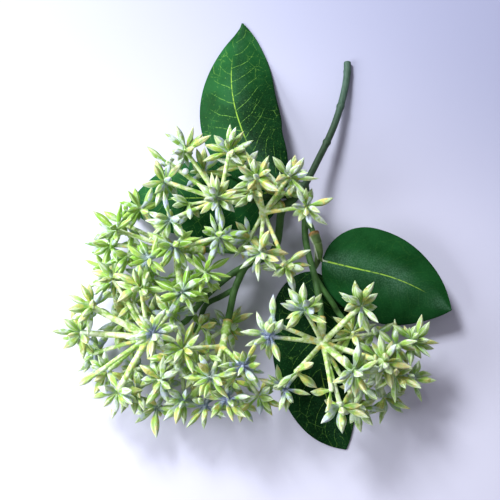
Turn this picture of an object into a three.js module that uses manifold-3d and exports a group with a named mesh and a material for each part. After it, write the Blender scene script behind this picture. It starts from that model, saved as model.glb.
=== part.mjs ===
// An artificial skimmia spray, laid on its side: a forked stem, four leaves on two stalks,
// and eight heads of pointed buds, each head a separate moulding pushed onto a peg of the stem.
// Millimetres, +Z up, the surface that the spray lies on at z = 0, the cut end towards +Y.
import * as THREE from 'three';
import { mergeVertices } from 'three/addons/utils/BufferGeometryUtils.js';
import Module from 'manifold-3d';

const wasm = await Module();
wasm.setup();

// Driving dimensions
const CLEARANCE = 0.3;
const STEM_SIDES = 6;
const STEM_STEP = 20;
const KNOT_WIDTH = 0.012;
const PEG_RADIUS = 1.2;
const PEG_LENGTH = 6;
const PEG_LEAD = 8;
const NECK_RADIUS = 1.7;
const SOCKET_RADIUS = PEG_RADIUS + CLEARANCE;
const SOCKET_DEPTH = PEG_LENGTH + 0.6;
const SLEEVE_MOUTH_RADIUS = 2.9;
const SLEEVE_RADIUS = 2.7;
const SLEEVE_LENGTH = 9;
const PEDUNCLE_RADIUS = 2.2;
const HUB_RADIUS = 3;
const PEDICEL_RADIUS = 1.2;
const PEDICEL_SIDES = 4;
const PEDICEL_STEP = 42;
const PEDICEL_BOW = 0.1;
const CORE_RADIUS = 1.5;
const BUD_LENGTH = 15.5;
const BUD_LENGTH_SPREAD = 1.3;
const BUD_RADIUS = 2.15;
const BUD_BELLY_AT = 0.6;
const BUD_SWAY = 0.12;
const BUD_LEAST_ANGLE = 0.5;
const BUD_LEAST_HEIGHT = 0.1;
const BUD_MARGIN = 0.9;
const PEDICEL_SIDE_LIMIT = -0.55;
const CORE_TURNS = 12;
const SMALL_CLUSTER = 7;
const BLADE_THICKNESS = 0.8;
const RIB_DEPTH = 0.7;
const RIB_HALF_WIDTH = 0.07;
const RIB_LEAST_HEIGHT = 2;
const BLADE_ROWS = 12;
const BLADE_COLUMNS = 6;
const PLAN_CENTRE = [3.5, 18.5];
const FIRST_SEED = 11;

const COLOURS = {
  stem: 0x4f6b58,
  leaf: 0x1f4f26,
  leafStalk: 0x55703a,
  head: 0xc4d6a4,
};

// Each branch runs from inside the one that carries it to the seat of a head. Places are in the flat
// layout, before the spray is centred. Knots are slight swellings: [fraction along, height].
const BRANCHES = [
  {
    points: [[63.5, 128.5, 1.9], [63, 119, 2.3], [60, 104, 4.5], [53, 82, 9], [42, 58, 15], [34, 42, 21],
      [28, 33.5, 25]],
    seat: 'head_1', radii: [2.4, 2.1], knots: [[0.17, 0.5], [0.36, 0.45], [0.64, 0.45]],
  },
  {
    points: [[27, 32.5, 24.5], [19.5, 25, 20], [18, 15, 18], [16.5, 6, 17], [12, -2, 16.5], [5, -5, 16.5],
      [-2, -8, 16.5], [-6, -15, 17], [-9.5, -24, 18]],
    seat: 'head_5', radii: [2.5, 2.1], knots: [],
  },
  { points: [[-1, -7.5, 16.5], [-11, -13.5, 18], [-21, -22, 19.5], [-30, -31, 19.5]], seat: 'head_4',
    radii: [2.2, 1.8], knots: [] },
  { points: [[7, -4.5, 16.5], [0, 0, 19], [-10, 0, 22]], seat: 'head_3', radii: [2, 1.8], knots: [] },
  { points: [[-9, -22.5, 18], [-18, -27, 14], [-27, -31.5, 10.5]], seat: 'head_6', radii: [1.8, 1.6],
    knots: [] },
  { points: [[28, 33.5, 24.5], [17, 33, 26.5], [7, 31, 28]], seat: 'head_2', radii: [1.9, 1.7], knots: [] },
  {
    points: [[34, 42, 20.5], [35, 30, 21], [33.5, 19, 22], [33.5, 8, 22], [35.5, -3, 22], [38.5, -14, 22],
      [40.5, -25, 22.5]],
    seat: 'head_7', radii: [2.2, 1.9], knots: [],
  },
  { points: [[38.5, -15, 22], [43.8, -23.5, 21], [50, -32, 19]], seat: 'head_8', radii: [1.9, 1.7],
    knots: [] },
];

// A head has its seat on the stem, the hub that its pedicels leave, and the tip of each pedicel
// with the number of buds there, and a radius where the pedicel is a thick one.
const HEADS = [
  {
    name: 'head_1', seat: [20, 27.5, 27.5], hub: [8, 21, 32.5],
    tips: [[4, 38, 50, 9], [23, 40, 45, 8], [33, 23, 40, 8], [6, -5, 43, 8], [21, -11, 36, 8],
      [0, 7, 27, 5], [20, 33, 33, 4], [-4, 48, 38, 6], [1, 33, 39, 6]],
  },
  {
    name: 'head_2', seat: [-2, 29.5, 29.5], hub: [-18, 28, 36],
    tips: [[-12, 54, 48, 9], [-19, 25, 53, 9], [-38, 56, 45, 8], [-50, 38, 41, 8], [-48, 48, 47, 3],
      [-46, 14, 46, 8], [-28, 47, 29, 6]],
  },
  {
    name: 'head_3', seat: [-27, 0, 25], hub: [-44, -1, 31],
    tips: [[-65, 23, 36, 8], [-83, 2, 31, 8], [-58, -9, 48, 8], [-39, -28, 46, 9, 1.9], [-26, -16, 43, 8],
      [-18, 4, 46, 8], [-43, -2, 51, 6], [-77, 17, 21, 5], [-87, -10, 15, 6], [-78, 9, 40, 6],
      [-60, -17, 26, 6], [-32, -24, 25, 5]],
  },
  {
    name: 'head_4', seat: [-45, -45.5, 22], hub: [-59, -52.5, 30],
    tips: [[-91, -36, 38, 8, 1.7], [-99, -50, 28, 8, 1.7], [-93, -61, 15, 6], [-76, -84, 32, 8, 1.7],
      [-54, -52, 51, 9], [-63, -25, 41, 8], [-81, -18, 28, 7], [-88, -73, 31, 1],
      [-74, -42, 17, 6], [-84, -72, 22, 5], [-46, -39, 36, 6]],
  },
  {
    name: 'head_5', seat: [-13, -42, 24], hub: [-16, -58, 30],
    tips: [[-4, -70, 45, 8], [-22, -76, 46, 8], [-13, -88, 35, 8], [-38, -60, 43, 8], [-26, -92, 23, 6],
      [5, -86, 25, 6], [-31, -70, 30, 6], [-12, -77, 23, 5]],
  },
  {
    name: 'head_6', seat: [-34, -49, 11], hub: [-41, -65, 15],
    tips: [[-52, -77, 32, 8], [-55, -93, 15, 6], [-38, -89, 26, 6], [-69, -71, 13, 5], [-58, -38, 19, 5],
      [-45, -65, 34, 5], [-67, -83, 21, 5], [-14, -45, 12, 5]],
  },
  {
    name: 'head_7', seat: [42, -40.5, 25], hub: [42, -56, 32],
    tips: [[31, -39, 50, 9], [11, -53, 42, 9], [63, -36, 46, 9, 1.6], [76, -68, 42, 8, 1.6],
      [58, -73, 50, 9, 2], [46, -83, 42, 2], [26, -73, 46, 3], [20, -82, 30, 8], [62, -92, 27, 8],
      [14, -46, 44, 1], [51, -92, 40, 5]],
  },
  {
    name: 'head_8', seat: [57.5, -42.5, 16.5], hub: [70, -59, 18],
    tips: [[95, -55, 30, 8], [94, -76, 22, 6], [80, -87, 15, 6], [60, -50, 29, 6], [85, -58, 33, 6],
      [84, -75, 33, 5], [73, -64, 32, 5]],
  },
];

// Pedicel tips low enough to carry weight: one bud of each points down and touches the surface.
const FEET = { head_3: 8, head_4: 2, head_6: 1, head_8: 2 };
const FOOT_DIRECTION = [0.12, -0.08, -1];

// A leaf stalk is pushed onto a side peg of the stem by its wide end, and forks to two leaves.
const LEAF_STALKS = [
  {
    name: 'leaf_stalk_upper', root: [33.5, 41, 21.5], seat: [29, 42, 20.5],
    forks: [[[24, 42.8, 19.5], [20, 44.5, 18.8]], [[24, 42.8, 19.5], [19, 41, 17.5]]],
  },
  {
    name: 'leaf_stalk_lower', root: [35, 20, 22.6], seat: [38.2, 10.5, 25.5],
    forks: [[[41.7, -1, 25.6], [42.2, -5, 23.8]], [[41.2, -0.5, 24], [40.8, -6, 18.6], [38.8, -11, 15.6]]],
  },
];
const STALK_MOUTH_RADIUS = 3.4;
const STALK_CUP_RADIUS = 2.9;
const STALK_CUP_LENGTH = SOCKET_DEPTH + 1.5;
const STALK_FORK_START = SOCKET_DEPTH + 0.8;
const STALK_FORK_ROOT_RADIUS = 2.6;
const STALK_FORK_RADIUS = 1.2;
const STALK_SIDES = 5;
const STALK_STEPS = 3;

// A leaf follows its midrib. Each of its halves, left and right of the midrib, has its own greatest
// width, the drop of its edge below the midrib, how far along it is widest, how full it stays from
// there, and how sharply it then closes to the tip.
const LEAVES = [
  {
    name: 'leaf_1',
    midrib: [[19.6, 45.3, 18.8], [10, 54.5, 20], [0, 66, 19], [-7, 84, 15], [-11, 102, 11], [-12, 120, 7],
      [-10, 138, 3], [-5, 156, -2]],
    left: { width: 24.5, drop: 3, widest: 0.36, fullness: 1.8, point: 1.5 },
    right: { width: 27.5, drop: 5, widest: 0.48, fullness: 3.2, point: 0.85 },
  },
  {
    name: 'leaf_2',
    midrib: [[18.5, 40.7, 17.3], [2, 35, 16], [-18, 34, 17], [-45, 34, 15], [-76, 31, 8]],
    left: { width: 24, drop: 4, widest: 0.5, fullness: 2.2, point: 0.85 },
    right: { width: 24, drop: 3, widest: 0.5, fullness: 2.2, point: 0.85 },
  },
  {
    name: 'leaf_3',
    midrib: [[43.4, -6.1, 23.7], [60, -10, 23], [86, -16, 20], [105, -24, 17], [122, -35, 14]],
    left: { width: 27, drop: 2, widest: 0.33, fullness: 1.95, point: 0.95 },
    right: { width: 28, drop: 7, widest: 0.46, fullness: 2.5, point: 0.85 },
  },
  {
    name: 'leaf_4',
    midrib: [[38.5, -11.7, 15.4], [36, -30, 13], [40, -55, 10], [45, -82, 7], [51, -103, 1.5],
      [58, -118, -1.5]],
    left: { width: 26, drop: 4, widest: 0.45, fullness: 2.1, point: 0.85 },
    right: { width: 27, drop: 3, widest: 0.45, fullness: 2.6, point: 0.85 },
  },
];
const BASE_FULLNESS = 2.1;
const BASE_POINT = 0.52;
const LEAF_BASE_HALF_WIDTH = 1.2;
const LEAF_TIP_HALF_WIDTH = 0.5;

const vec = ([x, y, z]) => new THREE.Vector3(x, y, z);

// Random numbers from 0 to 1 that are the same each run
function seeded(seed) {
  let state = seed;
  return () => {
    state = (state + 0x6d2b79f5) | 0;
    let t = Math.imul(state ^ (state >>> 15), 1 | state);
    t = (t + Math.imul(t ^ (t >>> 7), 61 | t)) ^ t;
    return ((t ^ (t >>> 14)) >>> 0) / 2 ** 32;
  };
}

function randomVector(random) {
  return new THREE.Vector3(random() - 0.5, random() - 0.5, random() - 0.5);
}

// Solids

function solid(geometry) {
  const bare = geometry.clone();
  bare.deleteAttribute('normal');
  bare.deleteAttribute('uv');
  const merged = mergeVertices(bare, 1e-4);
  const corners = [];
  const index = merged.index.array;
  for (let i = 0; i < index.length; i += 3) {
    const [a, b, c] = [index[i], index[i + 1], index[i + 2]];
    if (a !== b && b !== c && c !== a) corners.push(a, b, c);
  }
  return new wasm.Manifold(new wasm.Mesh({
    numProp: 3,
    vertProperties: new Float32Array(merged.attributes.position.array),
    triVerts: new Uint32Array(corners),
  }));
}

function joined(solids) {
  return solids.reduce((whole, next) => whole.add(next));
}

// The largest piece of a body is the node, without any loose scrap that a cut leaves
function meshOf(name, body, colour) {
  const [largest] = body.decompose().sort((one, other) => other.volume() - one.volume());
  const { vertProperties, triVerts } = largest.getMesh();
  const geometry = new THREE.BufferGeometry();
  geometry.setAttribute('position', new THREE.BufferAttribute(new Float32Array(vertProperties), 3));
  geometry.setIndex(new THREE.BufferAttribute(new Uint32Array(triVerts), 1));
  geometry.computeVertexNormals();
  const material = new THREE.MeshStandardMaterial({ color: colour, roughness: 0.6, metalness: 0 });
  const mesh = new THREE.Mesh(geometry, material);
  mesh.name = name;
  return mesh;
}

// A closed tube: a capped cylinder bent along a curve, with a radius for each fraction of it
function tube(curve, radiusAt, sides, steps) {
  const geometry = new THREE.CylinderGeometry(1, 1, 1, sides, steps);
  const { normals, binormals } = curve.computeFrenetFrames(steps);
  const position = geometry.attributes.position;
  for (let i = 0; i < position.count; i += 1) {
    const ring = Math.round((position.getY(i) + 0.5) * steps);
    const radius = radiusAt(ring / steps);
    const point = curve.getPointAt(ring / steps);
    point.addScaledVector(normals[ring], position.getX(i) * radius);
    point.addScaledVector(binormals[ring], -position.getZ(i) * radius);
    position.setXYZ(i, point.x, point.y, point.z);
  }
  return solid(geometry);
}

// A turned shape: its profile of [radius, distance] runs along a direction from a point
function turned(profile, from, direction, sides) {
  const geometry = new THREE.LatheGeometry(profile.map(([r, d]) => new THREE.Vector2(r, d)), sides);
  const turn = new THREE.Quaternion().setFromUnitVectors(new THREE.Vector3(0, 1, 0), direction);
  geometry.applyQuaternion(turn);
  geometry.translate(from.x, from.y, from.z);
  return solid(geometry);
}

function ball(radius, centre) {
  const geometry = new THREE.IcosahedronGeometry(radius, 0);
  geometry.translate(centre.x, centre.y, centre.z);
  return solid(geometry);
}

function aboveSurface(body) {
  const below = new THREE.BoxGeometry(600, 600, 100);
  below.translate(0, 0, -50);
  return body.subtract(solid(below));
}

// Space already taken, as rows of balls, each marked with the node and the pedicel it belongs to
const taken = [];
const TAKEN_STEP = 2;
const TAKEN_LEAF_ROWS = 36;
const TAKEN_LEAF_COLUMNS = 9;
const TAKEN_LEAF_RADIUS = 1.9;
const TAKEN_FORK_RADIUS = 2;

function takeCurve(node, curve, radius, pedicel = -1) {
  const count = Math.ceil(curve.getLength() / TAKEN_STEP);
  for (let i = 0; i <= count; i += 1) {
    taken.push({ point: curve.getPointAt(i / count), radius, node, pedicel });
  }
}

function isClear(balls, node, pedicel) {
  return balls.every((one) => taken.every((other) => {
    if (other.node === node && other.pedicel === pedicel) return true;
    const reach = one.radius + other.radius + BUD_MARGIN;
    return one.point.distanceToSquared(other.point) > reach * reach;
  }));
}

// Stem

const headByName = new Map(HEADS.map((head) => [head.name, head]));

function headDirection(head) {
  return vec(head.hub).sub(vec(head.seat)).normalize();
}

function branchCurve(branch) {
  const head = headByName.get(branch.seat);
  const seat = vec(head.seat);
  const lead = seat.clone().addScaledVector(headDirection(head), -PEG_LEAD);
  return new THREE.CatmullRomCurve3([...branch.points.map(vec), lead, seat], false, 'centripetal');
}

function peg(seat, direction) {
  const profile = [[0, -1], [PEG_RADIUS, -1], [PEG_RADIUS, PEG_LENGTH], [0, PEG_LENGTH]];
  return turned(profile, seat, direction, STEM_SIDES);
}

function stalkDirection(stalk) {
  return vec(stalk.seat).sub(vec(stalk.root)).normalize();
}

function makeStem() {
  const pieces = [];
  for (const branch of BRANCHES) {
    const curve = branchCurve(branch);
    const [first, last] = branch.radii;
    const radiusAt = (t) => {
      const swellings = branch.knots.map(([at, by]) => by * Math.exp(-(((t - at) / KNOT_WIDTH) ** 2)));
      return swellings.reduce((sum, one) => sum + one, first + (last - first) * t);
    };
    pieces.push(tube(curve, radiusAt, STEM_SIDES, Math.ceil(curve.getLength() / STEM_STEP)));
    takeCurve('stem', curve, first);
    const head = headByName.get(branch.seat);
    pieces.push(peg(vec(head.seat), headDirection(head)));
  }
  for (const stalk of LEAF_STALKS) {
    const direction = stalkDirection(stalk);
    const neck = new THREE.LineCurve3(vec(stalk.root), vec(stalk.seat));
    pieces.push(tube(neck, () => NECK_RADIUS, STEM_SIDES, 1), peg(vec(stalk.seat), direction));
    takeCurve('stem', neck, NECK_RADIUS);
  }
  return meshOf('stem', aboveSurface(joined(pieces)), COLOURS.stem);
}

// Sleeves: a blind socket in the wide end of a head or a leaf stalk, over a peg of the stem

function socket(seat, direction) {
  const profile = [[0, -1], [SOCKET_RADIUS, -1], [SOCKET_RADIUS, SOCKET_DEPTH], [0, SOCKET_DEPTH]];
  return turned(profile, seat, direction, STEM_SIDES);
}

// Leaf stalks

function makeLeafStalk(stalk) {
  const seat = vec(stalk.seat);
  const direction = stalkDirection(stalk);
  const profile = [[0, CLEARANCE], [STALK_MOUTH_RADIUS, CLEARANCE], [STALK_CUP_RADIUS, STALK_CUP_LENGTH],
    [0, STALK_CUP_LENGTH]];
  const cup = turned(profile, seat, direction, STEM_SIDES);
  const cupEnd = seat.clone().addScaledVector(direction, STALK_FORK_START);
  const pieces = [cup];
  takeCurve(stalk.name, new THREE.LineCurve3(seat, cupEnd), STALK_MOUTH_RADIUS);
  for (const fork of stalk.forks) {
    const curve = new THREE.CatmullRomCurve3([cupEnd, ...fork.map(vec)], false, 'centripetal');
    const radiusAt = (t) => STALK_FORK_ROOT_RADIUS + (STALK_FORK_RADIUS - STALK_FORK_ROOT_RADIUS) * t * t;
    pieces.push(tube(curve, radiusAt, STALK_SIDES, STALK_STEPS));
    takeCurve(stalk.name, curve, TAKEN_FORK_RADIUS);
  }
  return meshOf(stalk.name, joined(pieces).subtract(socket(seat, direction)), COLOURS.leafStalk);
}

// Leaves

// Half width of the outline, as a share of the greatest, at a fraction along the midrib
function outline(along, { widest, fullness, point }) {
  if (along < widest) return (1 - ((widest - along) / widest) ** BASE_FULLNESS) ** BASE_POINT;
  return (1 - ((along - widest) / (1 - widest)) ** fullness) ** point;
}

function leafSurface(leaf) {
  const midrib = new THREE.CatmullRomCurve3(leaf.midrib.map(vec), false, 'centripetal');
  const up = new THREE.Vector3(0, 0, 1);
  return (along, across) => {
    const point = midrib.getPointAt(along);
    const side = midrib.getTangentAt(along).cross(up).normalize();
    const half = across < 0 ? leaf.left : leaf.right;
    const share = outline(along, half);
    const least = LEAF_BASE_HALF_WIDTH + (LEAF_TIP_HALF_WIDTH - LEAF_BASE_HALF_WIDTH) * along;
    point.addScaledVector(side, across * Math.max(least, half.width * share));
    point.z -= half.drop * share * across * across;
    point.z = Math.max(point.z, BLADE_THICKNESS / 2);
    return point;
  };
}

// A blade has an upper and a lower grid of corners, split into triangles alike
function makeLeaf(leaf) {
  const surface = leafSurface(leaf);
  const corners = [];
  for (const side of [1, -1]) {
    for (let i = 0; i <= BLADE_ROWS; i += 1) {
      for (let j = 0; j <= BLADE_COLUMNS; j += 1) {
        const along = i / BLADE_ROWS;
        const across = (2 * j) / BLADE_COLUMNS - 1;
        const point = surface(along, across);
        const ribbed = side < 0 && point.z > RIB_LEAST_HEIGHT;
        const rib = RIB_DEPTH * Math.exp(-((across / RIB_HALF_WIDTH) ** 2)) * (1 - along);
        corners.push(point.x, point.y, point.z + (side * BLADE_THICKNESS) / 2 - (ribbed ? rib : 0));
      }
    }
  }
  const width = BLADE_COLUMNS + 1;
  const under = width * (BLADE_ROWS + 1);
  const faces = [];
  for (let i = 0; i < BLADE_ROWS; i += 1) {
    for (let j = 0; j < BLADE_COLUMNS; j += 1) {
      const a = i * width + j;
      const [b, c, d] = [a + 1, a + width + 1, a + width];
      faces.push(a, b, c, a, c, d);
      faces.push(a + under, c + under, b + under, a + under, d + under, c + under);
    }
  }
  const rim = [];
  for (let j = 0; j < BLADE_COLUMNS; j += 1) rim.push(j);
  for (let i = 0; i < BLADE_ROWS; i += 1) rim.push(i * width + BLADE_COLUMNS);
  for (let j = BLADE_COLUMNS; j > 0; j -= 1) rim.push(BLADE_ROWS * width + j);
  for (let i = BLADE_ROWS; i > 0; i -= 1) rim.push(i * width);
  rim.forEach((a, k) => {
    const b = rim[(k + 1) % rim.length];
    faces.push(b, a, a + under, b, a + under, b + under);
  });
  const geometry = new THREE.BufferGeometry();
  geometry.setAttribute('position', new THREE.BufferAttribute(new Float32Array(corners), 3));
  geometry.setIndex(faces);
  takeLeaf(leaf.name, surface);
  return meshOf(leaf.name, solid(geometry), COLOURS.leaf);
}

function takeLeaf(node, surface) {
  for (let i = 0; i <= TAKEN_LEAF_ROWS; i += 1) {
    for (let j = -TAKEN_LEAF_COLUMNS; j <= TAKEN_LEAF_COLUMNS; j += 1) {
      const point = surface(i / TAKEN_LEAF_ROWS, j / TAKEN_LEAF_COLUMNS);
      taken.push({ point, radius: TAKEN_LEAF_RADIUS, node, pedicel: -1 });
    }
  }
}

// Heads

function pedicelCurve(head, tip) {
  const hub = vec(head.hub);
  const end = vec(tip);
  const middle = hub.clone().lerp(end, 0.5);
  middle.z += PEDICEL_BOW * hub.distanceTo(end);
  return new THREE.QuadraticBezierCurve3(hub, middle, end);
}

// A bud as a row of balls: [share of its length, radius]
const BUD_BALLS = [[0.3, 1.2], [0.45, 1.7], [0.6, 2], [0.75, 1.35], [0.92, 0.6]];

function budBalls(centre, bud) {
  return BUD_BALLS.map(([at, radius]) => ({
    point: centre.clone().addScaledVector(bud.direction, at * bud.length), radius,
  }));
}

// The core that buds stand on is a small ball of four-sided faces, with fewer of them for fewer buds
function coreFaces(turn, count) {
  const geometry = new THREE.BoxGeometry(1, 1, 1, 2, 2, count > SMALL_CLUSTER ? 2 : 1);
  const index = geometry.index.array;
  const position = geometry.attributes.position;
  const corner = (i) => new THREE.Vector3().fromBufferAttribute(position, i).normalize()
    .multiplyScalar(CORE_RADIUS).applyQuaternion(turn);
  const faces = [];
  for (let i = 0; i < index.length; i += 6) {
    const corners = [index[i], index[i + 1], index[i + 4], index[i + 2]].map(corner);
    const middle = corners.reduce((sum, one) => sum.add(one), new THREE.Vector3()).normalize();
    faces.push({ corners, middle, bud: null });
  }
  return faces;
}

// Buds stand on the faces that face away from the pedicel, each as far from the rest as it can
function placeBuds(faces, centre, tip, random, isFree) {
  const chosen = [];
  const hasRoom = (bud) => {
    const balls = budBalls(centre, bud);
    return balls.every(({ point, radius }) => point.z > radius)
      && centre.z + bud.direction.z * bud.length > BUD_LEAST_HEIGHT && isFree(balls);
  };
  const place = (face, bud) => {
    face.bud = bud;
    chosen.push(face.bud.direction);
  };
  if (tip.foot) {
    const foot = vec(FOOT_DIRECTION).normalize();
    const lowest = faces.reduce((low, face) => (face.middle.dot(foot) > low.middle.dot(foot) ? face : low));
    place(lowest, { direction: foot, length: centre.z / -foot.z });
  }
  const open = faces.filter((face) => !face.bud && face.middle.dot(tip.direction) > PEDICEL_SIDE_LIMIT);
  for (const face of open) {
    const sway = randomVector(random).multiplyScalar(2 * BUD_SWAY);
    const length = BUD_LENGTH + BUD_LENGTH_SPREAD * (2 * random() - 1);
    face.wish = { direction: face.middle.clone().add(sway).normalize(), length };
  }
  const free = open.filter((face) => hasRoom(face.wish));
  while (chosen.length < tip.count && free.length) {
    const room = (face) => (chosen.length
      ? Math.min(...chosen.map((other) => face.wish.direction.angleTo(other)))
      : face.middle.dot(tip.direction));
    free.sort((one, other) => room(other) - room(one));
    const next = free.shift();
    if (chosen.length && room(next) < BUD_LEAST_ANGLE) break;
    place(next, next.wish);
  }
  return chosen.length;
}

// Each face with a bud is drawn out to a belly and a point, and the rest close the core
function clusterGeometry(faces, centre) {
  const corners = [];
  const triangle = (...points) => {
    points.forEach((point) => corners.push(...point.clone().add(centre).toArray()));
  };
  for (const face of faces) {
    const [a, b, c, d] = face.corners;
    if (!face.bud) {
      triangle(a, b, c);
      triangle(a, c, d);
      continue;
    }
    const { direction, length } = face.bud;
    const point = direction.clone().multiplyScalar(length);
    const belly = face.corners.map((root) => {
      const out = root.clone().addScaledVector(direction, -root.dot(direction)).setLength(BUD_RADIUS);
      return out.addScaledVector(direction, BUD_BELLY_AT * length);
    });
    face.corners.forEach((root, i) => {
      const next = (i + 1) % 4;
      triangle(root, face.corners[next], belly[next]);
      triangle(root, belly[next], belly[i]);
      triangle(belly[i], belly[next], point);
    });
  }
  const geometry = new THREE.BufferGeometry();
  geometry.setAttribute('position', new THREE.BufferAttribute(new Float32Array(corners), 3));
  return geometry;
}

// The core is turned a few ways, and stays in the one that leaves room for the most buds
function makeCluster(head, tip, pedicel, random) {
  const isFree = (balls) => isClear(balls, head.name, pedicel);
  let best = { count: -1 };
  for (let i = 0; i < CORE_TURNS && best.count < tip.count; i += 1) {
    const axis = randomVector(random).normalize();
    const turn = new THREE.Quaternion().setFromAxisAngle(axis, Math.PI * random());
    if (tip.count === 1) turn.setFromUnitVectors(new THREE.Vector3(1, 1, 2).normalize(), tip.direction);
    const faces = coreFaces(turn, tip.count);
    const count = placeBuds(faces, tip.centre, tip, random, isFree);
    if (count > best.count) best = { count, faces };
  }
  for (const { bud } of best.faces.filter((face) => face.bud)) {
    taken.push(...budBalls(tip.centre, bud).map((one) => ({ ...one, node: head.name, pedicel })));
  }
  return solid(clusterGeometry(best.faces, tip.centre));
}

function headPedicels(head) {
  head.tips.forEach((tip, i) => {
    takeCurve(head.name, pedicelCurve(head, tip), tip[4] ?? PEDICEL_RADIUS, i);
    taken.push({ point: vec(tip), radius: CORE_RADIUS + CLEARANCE, node: head.name, pedicel: i });
  });
  takeCurve(head.name, new THREE.LineCurve3(vec(head.seat), vec(head.hub)), SLEEVE_MOUTH_RADIUS);
}

function makeHead(head, seed) {
  const random = seeded(seed);
  const seat = vec(head.seat);
  const hub = vec(head.hub);
  const direction = headDirection(head);
  const reach = seat.distanceTo(hub);
  const profile = [[0, CLEARANCE], [SLEEVE_MOUTH_RADIUS, CLEARANCE], [SLEEVE_RADIUS, SLEEVE_LENGTH],
    [PEDUNCLE_RADIUS, SLEEVE_LENGTH + 1.5], [PEDUNCLE_RADIUS, reach], [0, reach]];
  const pieces = [turned(profile, seat, direction, STEM_SIDES), ball(HUB_RADIUS, hub)];
  head.tips.forEach((row, i) => {
    const [x, y, z, count, radius = PEDICEL_RADIUS] = row;
    const curve = pedicelCurve(head, row);
    const tip = { centre: new THREE.Vector3(x, y, z), direction: curve.getTangent(1), count,
      foot: FEET[head.name] === i };
    const steps = Math.ceil(curve.getLength() / PEDICEL_STEP);
    pieces.push(tube(curve, () => radius, PEDICEL_SIDES, steps), makeCluster(head, tip, i, random));
  });
  return meshOf(head.name, joined(pieces).subtract(socket(seat, direction)), COLOURS.head);
}

// Assembly: what is fixed first, so that the buds find their room last
const spray = new THREE.Group();
spray.add(makeStem());
LEAF_STALKS.forEach((stalk) => spray.add(makeLeafStalk(stalk)));
LEAVES.forEach((leaf) => spray.add(makeLeaf(leaf)));
HEADS.forEach(headPedicels);
HEADS.forEach((head, i) => spray.add(makeHead(head, FIRST_SEED + i)));
spray.position.set(-PLAN_CENTRE[0], -PLAN_CENTRE[1], 0);

export default spray;
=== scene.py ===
"""The looks of an artificial skimmia spray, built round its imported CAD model.

Every CAD node is replaced by a finer piece on the same lines: the stem and the leaf stalks as smooth
mouldings, the leaves as thin blades with printed veins, and each head as its stalks and its buds.
Layout lists are in millimetres in the flat layout of the CAD source, and points become metres about
PLAN_CENTRE when a mesh is made.
"""
import math

import bpy
import numpy as np
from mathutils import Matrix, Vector


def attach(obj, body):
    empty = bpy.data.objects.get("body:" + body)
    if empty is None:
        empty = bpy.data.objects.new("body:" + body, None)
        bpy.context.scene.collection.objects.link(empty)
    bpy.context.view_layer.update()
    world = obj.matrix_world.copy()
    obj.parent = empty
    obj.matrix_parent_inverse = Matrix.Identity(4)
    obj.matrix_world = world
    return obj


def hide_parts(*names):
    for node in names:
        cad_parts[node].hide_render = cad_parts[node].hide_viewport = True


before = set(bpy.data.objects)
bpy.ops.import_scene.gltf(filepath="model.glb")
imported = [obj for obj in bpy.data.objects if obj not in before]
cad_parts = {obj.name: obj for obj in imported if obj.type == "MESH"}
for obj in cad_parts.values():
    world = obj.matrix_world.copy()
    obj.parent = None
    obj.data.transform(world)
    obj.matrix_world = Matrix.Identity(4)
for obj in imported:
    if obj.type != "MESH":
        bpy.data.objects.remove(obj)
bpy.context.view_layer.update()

# Layout: the plan point that lies at the frame's origin, a millimetre in metres, and a direction that no
# stalk runs along, which sets the first side of each tube
PLAN_CENTRE = np.array([3.5, 18.5, 0.0])
MM = 0.001
ASLANT = [0.3, 0.2, 1.0]

# Camera: straight on to the spray from 10 degrees off the vertical, with the photograph's field of view
CAMERA_TARGET = (0.0, 0.0, 25.0)
CAMERA_DISTANCE = 520.0
CAMERA_ELEVATION = 80.0
CAMERA_LENS = 62.4
CAMERA_SENSOR = 36.0

# Light and floor: two soft lamps from the upper left, each with its place and its aim, in metres, and its
# power in watts, in a pale surround
LAMPS = {
    "key": ((-0.46, 0.62, 0.78), (0, 0, 0), 16.4),
    "fill": ((-0.42, -0.12, 0.3), (-0.05, -0.03, 0), 3.3),
}
LAMP_SIZE = 0.3
LAMP_COLOUR = (0.97, 0.98, 1.0)
SURROUND_COLOUR = (0.92, 0.86, 0.95, 1.0)
SURROUND_STRENGTH = 0.36
FLOOR_REACH = 3
FLOOR_DROP = 0.0002

# Stem: its pegs and necks, its knots' width as a share of the branch, and its skin. Every ripple has its
# height, wavelength and seed.
PEG_RADIUS = 1.2
PEG_LENGTH = 6.0
PEG_LEAD = 8.0
NECK_RADIUS = 1.7
KNOT_WIDTH = 0.009
STEM_STEP = 1.2
STEM_SIDES = 16
PEG_SIDES = 14
STEM_VOXEL = 0.45
STEM_SMOOTHINGS = 4
STEM_RIPPLE = (0.06, 7, 3)

# Head stalks: a sleeve over the peg, a stalk, a hub and pedicels
CLEARANCE = 0.3
SLEEVE_MOUTH_RADIUS = 2.9
SLEEVE_RADIUS = 2.7
SLEEVE_LENGTH = 9.0
SLEEVE_WALL = 0.65
SLEEVE_SIDES = 24
PEDUNCLE_RADIUS = 2.2
HUB_RADIUS = 2.9
PEDICEL_RADIUS = 1.2
LOWER_PEDICEL_RADIUS = 0.9
PEDICEL_SWELL = 1.12
PEDICEL_STEPS = 16
PEDICEL_SIDES = 12
CORE_RADIUS = 1.65
BEAD_RADIUS = 1.9
STALK_VOXEL = 0.4
STALK_SMOOTHINGS = 2
STALK_RIPPLE = (0.05, 5, 8)

# Leaf stalks: a flared cup over the peg, forking to two leaves
MOUTH_RADIUS = 3.4
MOUTH_WALL = 0.6
CUP_LENGTH = 8.1
CUP_END = 7.4
CUP_RADIUS = 2.9
FORK_ROOT_RADIUS = 2.6
FORK_RADIUS = 1.2
FORK_TIP_RADIUS = 0.5
FORK_RUN = 0.1
FORK_RUN_DEPTH = 0.9
FORK_STEPS = 24
LEAF_STALK_VOXEL = 0.28
LEAF_STALK_SMOOTHINGS = 8

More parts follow.
